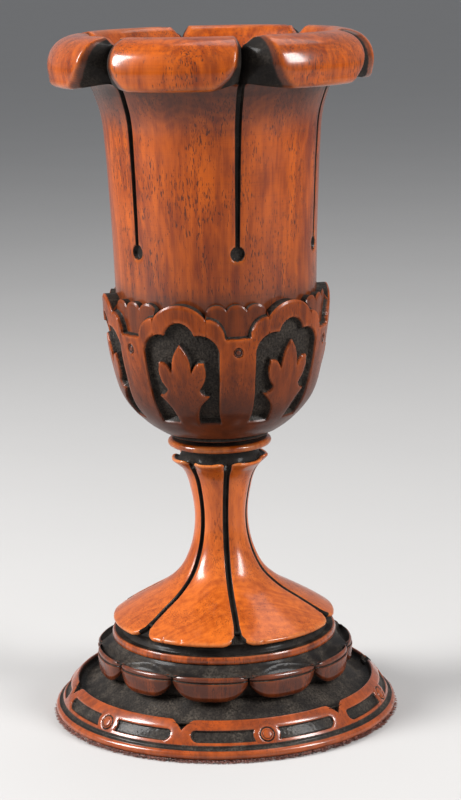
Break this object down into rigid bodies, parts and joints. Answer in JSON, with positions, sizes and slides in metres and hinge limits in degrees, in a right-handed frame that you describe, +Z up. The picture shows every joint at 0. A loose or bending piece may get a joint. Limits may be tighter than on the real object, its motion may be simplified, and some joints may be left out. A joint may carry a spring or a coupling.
{
  "type": "communion chalice",
  "caption": "Turned and carved wooden chalice: straight bowl with a petalled rim, leaf-carved calyx, fluted trumpet stem and stepped foot with a carved band.",
  "frame": {"origin": "middle of the face it stands on, under the pad", "axes": "+Z up along the turning axis; +X through one pin of the calyx, with leaves centred 30 degrees either side of it; the bowl's grooves are turned 2.5 degrees and the base's buttons 3.5 degrees past the pins"},
  "size_m": [0.1096, 0.1096, 0.216],
  "materials": {
    "foot_pad": "worn velvet, frayed at the edge",
    "base": "polished, blackened in the sunk ground",
    "base_buttons": "polished end grain",
    "plinth": "waxed, blackened in the scoops",
    "stem": "polished, blackened in the flutes",
    "collar": "polished",
    "calyx": "polished, blackened in the windows",
    "calyx_pins": "darkened end grain",
    "bowl": "polished, with turning marks and dark pores"
  },
  "bodies": {
    "root": {"foot_pad": "foot_pad", "base": "base", "base_buttons": "base_buttons", "plinth": "plinth", "stem": "stem", "collar": "collar", "calyx": "calyx", "calyx_pins": "calyx_pins", "bowl": "bowl"}
  },
  "joints": []
}
